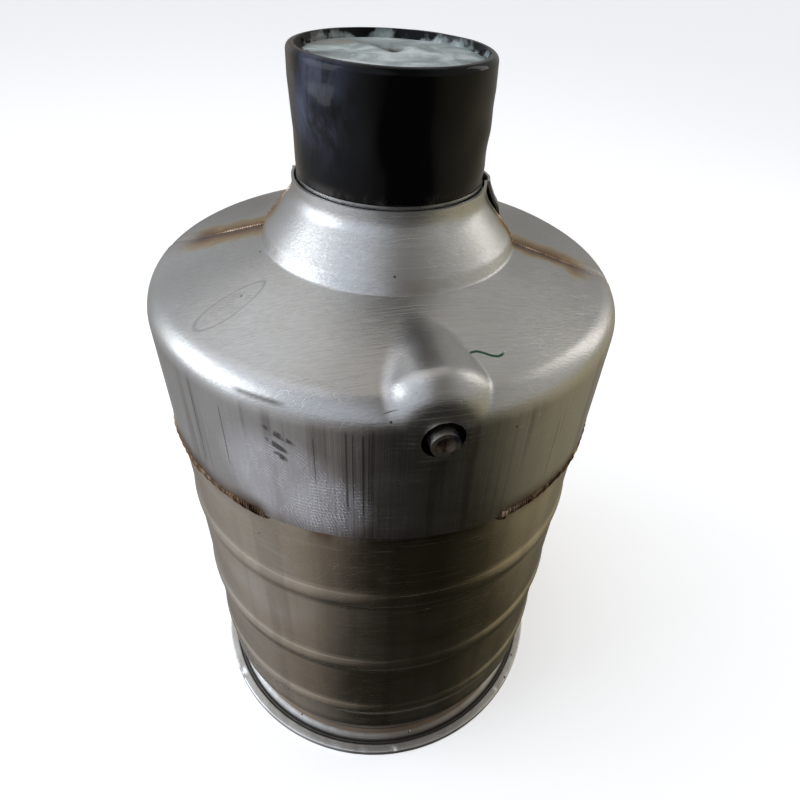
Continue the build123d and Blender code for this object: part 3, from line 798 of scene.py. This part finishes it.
def front_marks(paint, bearing, radius, z):
    """What has happened to the front half: grinding, smears, rubs and a dab of green marker."""
    arc = bearing * SKIRT_R
    on_cone = z.span(0.40, 0.402)

    # grinding marks, sweeping in arcs beside the girth weld
    sweep = paint.length(arc - GRIND_CENTRE[0], z - GRIND_CENTRE[1])
    jitter = paint.noise((120, 120, 120), 2.0) * 0.004
    broken = paint.noise((150, 150, 60), 3.0, 0.7).span(0.42, 0.62)
    left = oval(paint, arc, z, *GRIND_LEFT).fall(0.55, 1.0)
    right = oval(paint, arc, z, *GRIND_RIGHT).fall(0.55, 1.0)
    lines = paint.ridges(sweep + jitter, 0.0021).span(0.1, 0.9) * left
    lines = (lines + paint.ridges(z + jitter * 0.8, 0.0026).span(0.35, 0.95) * right) * broken
    paint.coat((left + right) * 0.5, (0.72, 0.72, 0.77))
    paint.coat(lines * 0.6, (0.95, 0.95, 0.98))
    paint.rough += (left + right) * 0.05

    for k, (middle, height, length) in enumerate(RUBS):
        rub = oval(paint, arc, z, (on_wall(middle), height), (length, 0.0026), -0.42 - 0.05 * k)
        rub = rub.fall(0.55, 1.0) * paint.noise((260, 260, 90), 2.0).span(0.3, 0.55)
        paint.coat(rub * 0.85, (0.06, 0.055, 0.05))

    for middle, width, top, bottom in DRAW_LINES:
        line = arc.near(on_wall(middle), width) * z.span(bottom, bottom + 0.012) * z.fall(top - 0.006, top)
        paint.coat(line * 0.8, (0.07, 0.065, 0.06))

    # a rubbed line just inside the rolled edge
    rub = radius.near(0.1475, 0.0012) * between(bearing, -43, -29, (3, 4)) * z.span(0.39, 0.395)
    paint.coat(rub * 0.7, DIRT)

    # a dressed oval, hatched and faintly edged
    u = (bearing - radians(DRESSED_OVAL[0])) * 0.114
    reach = oval(paint, u, radius, (0.0, DRESSED_OVAL[1]), (0.0085, 0.0235))
    hatch = paint.ridges(u * 0.7 + radius, 0.0015).span(0.0, 0.8) * broken
    paint.coat(reach.fall(0.55, 1.0) * on_cone * hatch * 0.5, (0.22, 0.215, 0.21))
    paint.coat(reach.near(0.93, 0.10) * on_cone * 0.42, (0.20, 0.195, 0.19))

    # a stroke of green marker right of the hood, one plain wave, kept even in width where it is steep
    u = (bearing - radians(GREEN_STROKE[0])) * GREEN_STROKE[1]
    off_wave = radius - GREEN_STROKE[1] - paint.ridges(u, STROKE_WAVE) * 0.0030
    steep = 1.0 + abs(paint.math("COSINE", u * (2 * pi / STROKE_WAVE))) * 0.3
    ink = (abs(off_wave) / steep).fall(0.0005, 0.0008) * u.near(0.0, 0.0125) * on_cone
    paint.coat(ink.span(0.05, 0.3, 0.0, 0.93), (0.012, 0.085, 0.035))
    paint.rough += ink * 0.12

    # scuffs over the hood's rolled front
    x, y, _ = paint.xyz()
    long_scuff = (z - x * 0.28).near(0.4142, 0.00045) * x.near(-0.0075, 0.0095) * broken.span(0.2, 0.7)
    short_scuff = (z - x * 0.35).near(0.4098, 0.00045) * x.near(-0.0265, 0.0055)
    scuffs = paint.math("MAXIMUM", long_scuff, short_scuff) * y.span(-0.120, -0.125)
    paint.coat(scuffs * 0.85, DIRT)
    return lines


def body_steel():
    """Smooth rolled sheet with a bronze cast, with painted highlights along its beads and painted shade at
    its foot.
    """
    paint = Paint("body_steel", metallic=1.0)
    z = paint.xyz()[2]
    cloud = paint.noise((7, 7, 9), 4.0, 0.5, 0.6)
    mottle = paint.noise((38, 38, 22), 4.0, 0.6)
    rolled = paint.noise((6, 6, 700), 3.0, 0.6)
    upright = paint.noise((60, 60, 2.5))
    slant = paint.noise((30, 30, 130), 2.0, 0.5, turn=(0.5, 0.3, 0.2))
    hairs = paint.scratches(((0.2, 0.9, 0.4), 120, 0.008, 4.2), ((1.1, 0.3, 2.2), 150, 0.007, 9.4))
    paint.color = paint.ramp(cloud, BODY_TONES)
    paint.coat(upright.span(0.42, 0.62, 0.0, 0.45), (0.26, 0.23, 0.18))
    paint.coat(mottle.span(0.52, 0.72) * 0.4, (0.42, 0.35, 0.22))
    paint.coat(slant.span(0.6, 0.7, 0.0, 0.25), (0.52, 0.50, 0.47))
    paint.coat(hairs * mottle.span(0.4, 0.6) * 0.35, (0.62, 0.60, 0.56))
    paint.coat(paint.specks(60, 0.06, 0.15) * 0.8, DIRT)
    # painted highlights: pale lines along the lower and upper edge of each bead
    edges = 0.0
    for level in BEAD_LEVELS:
        edges += z.near(level - 6.9 * MM, 0.8 * MM) + z.near(level + 6.9 * MM, 0.7 * MM) * 0.4
    paint.coat(edges * 0.6, (0.86, 0.82, 0.74))
    paint.coat(z.span(SKIRT_Z - 0.016, SKIRT_Z - 0.003) * mottle.span(0.35, 0.6) * 0.7, (0.17, 0.105, 0.07))
    # painted shade: the bottom of the body and the bottom head are darkened down to the foot ring
    paint.coat(z.fall(BODY_BOTTOM_Z, BODY_BOTTOM_Z + 0.012) * 0.6, (0.10, 0.075, 0.05))
    paint.rough = cloud.span(0.3, 0.7, 0.20, 0.30) + rolled * 0.07
    paint.bump((mottle, 0.0001), (rolled, 0.00006), (hairs, -0.00004))
    return paint.finish()


def weld_metal():
    """Weld metal, burnt brown in patches and bright between them."""
    paint = Paint("weld_metal", metallic=1.0)
    fine = paint.noise((700, 700, 700), 4.0, 0.6)
    paint.color = paint.ramp(paint.noise((60, 60, 60)), WELD_TONES)
    paint.coat(fine.span(0.55, 0.75, 0.0, 0.5), (0.12, 0.085, 0.06))
    paint.rough = fine.span(0.3, 0.7, 0.22, 0.5)
    paint.bump((fine, 0.00035))
    return paint.finish()


def foot_steel():
    """Matt grey ring with pits, dirty in its groove, with painted shade on its inner ledge."""
    paint = Paint("foot_steel", metallic=1.0)
    bearing, radius, z = paint.round_place()
    cloud = paint.noise((30, 30, 60), 4.0, 0.6)
    fine = paint.noise((260, 260, 260), 4.0, 0.65)
    turned = paint.noise(paint.combine(radius * 1600.0, z * 1600.0, bearing * 2.0), 2.0)
    paint.color = paint.ramp(cloud, FOOT_TONES)
    paint.coat(fine.span(0.55, 0.72, 0.0, 0.4), (0.36, 0.34, 0.31))
    stain = paint.noise((22, 22, 22)).span(0.5, 0.65) * radius.span(0.143, 0.146, 1.0, 0.2)
    paint.coat(stain * 0.55, (0.42, 0.33, 0.22))
    pits = paint.specks(110, 0.13, 0.3) + paint.specks(48, 0.07, 0.25)
    paint.coat(pits * 0.9, DIRT)
    paint.coat(radius.fall(0.1435, 0.1455) * bearing.near(0.05, 1.1) * 0.75, (0.34, 0.285, 0.23))
    paint.coat(radius.near(0.1460, 0.0042) * 0.9, DIRT)
    # painted shade on the inner ledge, where the ring meets the body
    paint.coat(radius.fall(0.1385, 0.1425) * z.span(0.008, 0.010) * 0.75, (0.09, 0.07, 0.05))
    paint.rough = 0.34 + fine * 0.22
    paint.bump((fine, 0.0002), (turned, 0.0001), (pits, -0.0005))
    return paint.finish()


def darker(tone, share):
    return tuple(part * share for part in tone)


def turned_steel(name, tone, rings_per_metre, port=False):
    """Machined steel with fine tool rings, round the vessel's axis or the port's, which has a dab of ink."""
    paint = Paint(name, metallic=1.0)
    x, y, z = paint.xyz()
    across, along = (z - PORT_Z, y) if port else (y, z)
    radius = paint.length(x, across)
    rings = paint.noise(paint.combine(radius * rings_per_metre, along * rings_per_metre, 0.0), 2.0, 0.6)
    dirt = paint.noise((130, 130, 130), 4.0, 0.6)
    paint.color = paint.mix(rings.span(0.35, 0.7), darker(tone, 0.72), tone)
    paint.coat(dirt.span(0.52, 0.72, 0.0, 0.55), darker(tone, 0.35))
    if port:
        inked = paint.math("ARCTAN2", x, across).near(radians(52), radians(56)) * radius.span(0.0050, 0.0056)
        paint.coat(inked * dirt.span(0.3, 0.5) * y.span(-0.1490, -0.1515) * 0.85, (0.055, 0.03, 0.20))
    paint.rough = dirt.span(0.3, 0.7, 0.24, 0.42)
    paint.bump((dirt, 0.0001), (rings, 0.00008))
    return paint.finish()


def plain_steel(name, tone, dull):
    """Mill-finished sheet inside the vacuum space."""
    paint = Paint(name, metallic=1.0)
    grain = paint.noise((30, 30, 600))
    paint.color = paint.mix(paint.noise((14, 14, 14), 4.0).span(0.3, 0.7), darker(tone, 0.8), tone)
    paint.rough = grain.span(0.3, 0.7, dull - 0.06, dull + 0.06)
    paint.bump((grain, 0.00008))
    return paint.finish()


# ---- other materials
DUST_TONES = {0.28: (0.12, 0.125, 0.12), 0.5: (0.36, 0.41, 0.40), 0.66: (0.66, 0.72, 0.71)}


def chalky_dust(paint, smear, cloud):
    """The cap's dusty top: pale smears, dark flecks, a dark dimple and one rusty patch."""
    x, y, _ = paint.xyz()
    flecks = paint.specks(330, 0.24, 0.35) + paint.specks(170, 0.12, 0.3)
    dust = paint.mix(flecks * 0.55, paint.ramp(smear, DUST_TONES), (0.12, 0.13, 0.12))
    off_x, off_y = x - DIMPLE[0], y - DIMPLE[1]
    reach = paint.math("SQRT", off_x * off_x + off_y * off_y * 1.6)
    dust = paint.mix(reach.span(0.002, 0.011, 0.9, 0.0), dust, (0.06, 0.05, 0.04))
    rusty = x.near(-0.030, 0.02) * y.near(0.026, 0.012) * cloud.span(0.4, 0.6)
    return paint.mix(rusty * 0.7, dust, (0.28, 0.18, 0.10))


def cap_vinyl():
    """Glossy black soft vinyl, hazed on its left side under a painted bluish sheen, with chalky dust on the
    sagging top.
    """
    paint = Paint("cap_vinyl", (0.0015, 0.0015, 0.0018), **{"Specular IOR Level": 0.16})
    bearing, radius, z = paint.round_place()
    cloud = paint.noise((48, 48, 30), 5.0, 0.62, 0.25)
    fine = paint.noise((420, 420, 420), 4.0, 0.65)
    smear = paint.noise((34, 46, 16), 5.0, 0.62, 0.7, turn=(0.3, 0.2, 0.5))
    ragged_r = 0.0510 + (paint.noise((70, 70, 70)) - 0.55) * 0.012
    ragged_r -= bearing.near(radians(-75), radians(60)) * 0.007
    inside = (radius - paint.math("MINIMUM", ragged_r, 0.0513)).fall(-0.0012, 0.0008)
    top = z.span(0.514, 0.516) * inside

    # the left of the wall is rougher, and carries a painted bluish sheen of the light from that side
    haze_and_sheen = bearing.near(radians(-58), radians(34)) * z.span(0.47, 0.50) * cloud.span(0.36, 0.66)
    paint.coat(haze_and_sheen * 0.55, (0.085, 0.10, 0.16))
    side_dust = bearing.near(radians(-92), radians(26)) * smear.span(0.3, 0.6)
    paint.coat(side_dust * 0.6, (0.17, 0.12, 0.085))
    base_dust = z.fall(CAP_BOTTOM, CAP_BOTTOM + 0.007) * cloud.span(0.45, 0.65)
    paint.coat(base_dust * 0.35, (0.16, 0.14, 0.12))
    paint.coat(top, chalky_dust(paint, smear, cloud))
    paint.rough = 0.07 + haze_and_sheen * 0.25 + side_dust * 0.35 + top * fine.span(0.3, 0.7, 0.24, 0.42)
    paint.bump((cloud, 0.0001), (fine * top, 0.0002))
    return paint.finish()


def cork_foam():
    """Rigid foam: pressed cells, off-white, slightly soiled."""
    paint = Paint("cork_foam")
    cell = paint.cells(420, feature="DISTANCE_TO_EDGE")
    cloud = paint.noise((30, 30, 30), 4.0)
    paint.color = paint.mix(cell.span(0.0, 0.12), (0.62, 0.60, 0.53), (0.84, 0.83, 0.77))
    paint.coat(cloud.span(0.5, 0.75, 0.0, 0.45), (0.55, 0.49, 0.38))
    paint.rough = cell.span(0.0, 0.2, 0.9, 0.7)
    paint.bump((cloud, 0.0004), (cell.span(0.0, 0.2), 0.0003))
    return paint.finish()


def glass_fibre():
    """Woven glass cloth showing through a yellow-green resin."""
    paint = Paint("glass_fibre")
    bearing, _, z = paint.round_place()
    weave = paint.math("SINE", bearing * 190.0) * paint.ridges(z, 0.0017)
    cloud = paint.noise((40, 40, 25))
    paint.color = paint.mix(weave.span(-0.6, 0.6), (0.40, 0.37, 0.17), (0.58, 0.55, 0.31))
    paint.coat(cloud.span(0.45, 0.7, 0.0, 0.4), (0.34, 0.29, 0.13))
    paint.rough = cloud.span(0.3, 0.7, 0.26, 0.42)
    paint.bump((weave, 0.00012))
    return paint.finish()


def reflective_foil():
    """Crinkled bright foil."""
    paint = Paint("reflective_foil", metallic=1.0)
    crease = paint.cells(1.0, where=paint.scaled((60, 60, 45)), feature="DISTANCE_TO_EDGE")
    cloud = paint.noise((90, 90, 60), 4.0, 0.6, 1.0)
    paint.color = paint.mix(cloud.span(0.3, 0.7), (0.66, 0.66, 0.67), (0.82, 0.82, 0.83))
    paint.rough = cloud.span(0.3, 0.7, 0.14, 0.3)
    paint.bump((crease.span(0.0, 0.25), 0.0012), (cloud, 0.0007))
    return paint.finish()


def adsorbent_grains():
    """A bed of dark grains."""
    paint = Paint("adsorbent_grains", roughness=0.9)
    paint.color = paint.mix(paint.chance(380), (0.05, 0.047, 0.043), (0.15, 0.14, 0.13))
    paint.bump((paint.cells(380) * -1.0, 0.002))
    return paint.finish()


def seal_rubber():
    """Black rubber, a little dusty."""
    paint = Paint("seal_rubber")
    cloud = paint.noise((900, 900, 900))
    paint.color = paint.mix(cloud, (0.012, 0.012, 0.012), (0.035, 0.034, 0.032))
    paint.rough = cloud.span(0.3, 0.7, 0.4, 0.62)
    return paint.finish()


# ---- pieces on their bodies
def dress(piece, material):
    """Gives a piece one material."""
    piece.data.materials.clear()
    piece.data.materials.append(material)


welds = weld_metal()
front_steel = shoulder_steel("shoulder_steel_front", True)
rear_steel = shoulder_steel("shoulder_steel_rear", False)
body_metal = body_steel()
foot_metal = foot_steel()
neck_metal = turned_steel("neck_metal", (0.46, 0.455, 0.44), 3200.0)
port_metal = turned_steel("port_metal", (0.56, 0.53, 0.48), 5200.0, port=True)
# the port screw gets a dark brown tone as painted shade in the port's bore
screw_shade_metal = turned_steel("port_screw_painted_shade", (0.20, 0.155, 0.12), 5200.0, port=True)
inner_metal = plain_steel("inner_steel", (0.62, 0.61, 0.59), 0.3)
dull_weld = plain_steel("foot_weld_metal", (0.24, 0.18, 0.13), 0.45)
# the port pocket gets a near black tone as painted shade inside the port hole
pocket_shade_metal = plain_steel("pocket_steel_painted_shade", (0.12, 0.105, 0.09), 0.5)
tray_metal = plain_steel("tray_aluminium", (0.75, 0.75, 0.76), 0.35)
resin, foil, foam = glass_fibre(), reflective_foil(), cork_foam()
vinyl, grains, rubber = cap_vinyl(), adsorbent_grains(), seal_rubber()

SKINS = (
    (front_skin(), "shoulder_front_shell", "shoulder_steel", front_steel, "vessel"),
    (rear_skin(), "shoulder_rear_shell", "shoulder_steel", rear_steel, "vessel"),
    (seam_weld("seam_bead_right", SEAM_BEARING, 41), "seam_weld_right", "weld_metal", welds, "vessel"),
    (seam_weld("seam_bead_left", SEAM_BEARING - 180, 43), "seam_weld_left", "weld_metal", welds, "vessel"),
    (girth_weld(), "girth_weld", "weld_metal", welds, "vessel"),
    (body_skin(), "body_shell", "body_steel", body_metal, "vessel"),
    (foot_skin(), "foot_ring", "foot_metal", foot_metal, "vessel"),
    (cap_skin(), "lid_cap", "cap_vinyl", vinyl, "lid"),
)
for piece, node, slot, material, body in SKINS:
    dress(piece, material)
    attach(piece, body)
    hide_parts(node)

NODE_MATERIALS = {
    "bottom_head": body_metal, "foot_weld": dull_weld, "neck_ring": neck_metal, "neck_tube": resin,
    "inner_top_head": inner_metal, "inner_shell": inner_metal, "inner_bottom_head": inner_metal,
    "inner_top_weld": welds, "inner_bottom_weld": welds, "insulation_blanket": foil,
    "adsorbent_tray": tray_metal, "adsorbent_charge": grains, "base_support": resin,
    "port_pocket": pocket_shade_metal, "port_tube": port_metal, "port_plug": port_metal,
    "port_o_rings": rubber, "port_screw": screw_shade_metal, "lid_cork": foam, "cork_rod": resin,
    "cork_washer": resin, "cork_nut": resin,
}
for node, material in NODE_MATERIALS.items():
    dress(nodes[node], material)


# ---- camera
CAMERA_DISTANCE = 0.3565       # from the vessel's axis
CAMERA_HEIGHT = 0.5857
CAMERA_TURN = radians(-11.5)   # round the axis from the port
CAMERA_TILT = 0.6979
CAMERA_PAN = 0.0803
CAMERA_ROLL = 0.0777
CAMERA_LENS = 26.69
CAMERA_SHIFT = -0.026


def place_camera():
    """A close, hand-held camera above the shoulder, a little left of the port."""
    level = cos(CAMERA_TILT)
    ahead = Vector((sin(CAMERA_PAN) * level, cos(CAMERA_PAN) * level, -sin(CAMERA_TILT)))
    right = Vector((cos(CAMERA_PAN), -sin(CAMERA_PAN), 0))
    up = right.cross(ahead)
    side = right * cos(CAMERA_ROLL) + up * sin(CAMERA_ROLL)
    top = up * cos(CAMERA_ROLL) - right * sin(CAMERA_ROLL)
    data = bpy.data.cameras.new("camera")
    data.lens = CAMERA_LENS
    data.shift_x = CAMERA_SHIFT
    data.clip_start = 0.01
    camera = bpy.data.objects.new("camera", data)
    bpy.context.scene.collection.objects.link(camera)
    basis = Matrix((side, top, -ahead)).transposed().to_4x4()
    stand = Matrix.Translation((0, -CAMERA_DISTANCE, CAMERA_HEIGHT))
    camera.matrix_world = Matrix.Rotation(CAMERA_TURN, 4, "Z") @ stand @ basis
    bpy.context.scene.camera = camera


place_camera()


# ---- studio
def soft_box(name, place, size, power, color):
    data = bpy.data.lights.new(name, "AREA")
    data.shape = "RECTANGLE"
    data.size, data.size_y = size
    data.energy = power
    data.color = color
    light = bpy.data.objects.new(name, data)
    light.location = place
    light.rotation_euler = (Vector((0, 0, 0.3)) - Vector(place)).to_track_quat("-Z", "Y").to_euler()
    bpy.context.scene.collection.objects.link(light)


soft_box("window_left", (-1.5, 0.05, 0.80), (1.2, 1.1), 11, (0.88, 0.94, 1.0))
soft_box("window_right", (1.5, 0.25, 1.1), (0.5, 1.3), 3.5, (1.0, 0.97, 0.93))
soft_box("overhead", (-0.4, 0.9, 2.4), (3.0, 2.4), 11, (1.0, 0.99, 0.97))


# the room's colours from left to right, above the horizon and below it
ROOM_ABOVE = {
    0.0: (0.90, 0.99, 1.14), 0.26: (0.72, 0.77, 0.88), 0.42: (0.19, 0.17, 0.145),
    0.60: (0.15, 0.13, 0.105), 0.78: (0.27, 0.265, 0.25), 1.0: (0.60, 0.60, 0.58),
}
ROOM_BELOW = {
    0.0: (0.72, 0.74, 0.80), 0.15: (0.36, 0.34, 0.33), 0.32: (0.022, 0.019, 0.016),
    0.72: (0.012, 0.012, 0.008), 0.88: (0.05, 0.045, 0.030), 1.0: (0.52, 0.47, 0.32),
}


def studio_walls():
    """The soft grey room that the steel reflects: cool and bright on the left, dim in front and below."""
    world = bpy.data.worlds.new("studio")
    bpy.context.scene.world = world
    world.use_nodes = True
    room = Nodes(world.node_tree, "Generated")
    x, y, z = room.xyz()
    left_to_right = x.span(-0.95, 0.95)
    behind = y.span(0.1, 0.8, 0.0, 0.7)
    above = room.mix(behind, room.ramp(left_to_right, ROOM_ABOVE), (0.36, 0.36, 0.355))
    below = room.mix(behind, room.ramp(left_to_right, ROOM_BELOW), (0.34, 0.33, 0.31))
    sky = world.node_tree.nodes["Background"]
    room.feed(sky.inputs["Color"], room.mix(z.span(-0.10, 0.12), below, above))
    sky.inputs["Strength"].default_value = 1.0


studio_walls()


def pale_floor():
    bpy.ops.mesh.primitive_plane_add(size=30)
    floor = bpy.context.object
    floor.name = "floor"
    floor.visible_glossy = False
    glow = {"Emission Color": (1, 1, 1, 1), "Emission Strength": 0.42}
    paint = Paint("floor_paper", roughness=0.9, **glow)
    paint.color = paint.mix(paint.noise((400, 400, 400), 2.0), (0.88, 0.88, 0.88), (0.92, 0.92, 0.92))
    dress(floor, paint.finish())


pale_floor()
bpy.context.scene.view_settings.view_transform = "Standard"
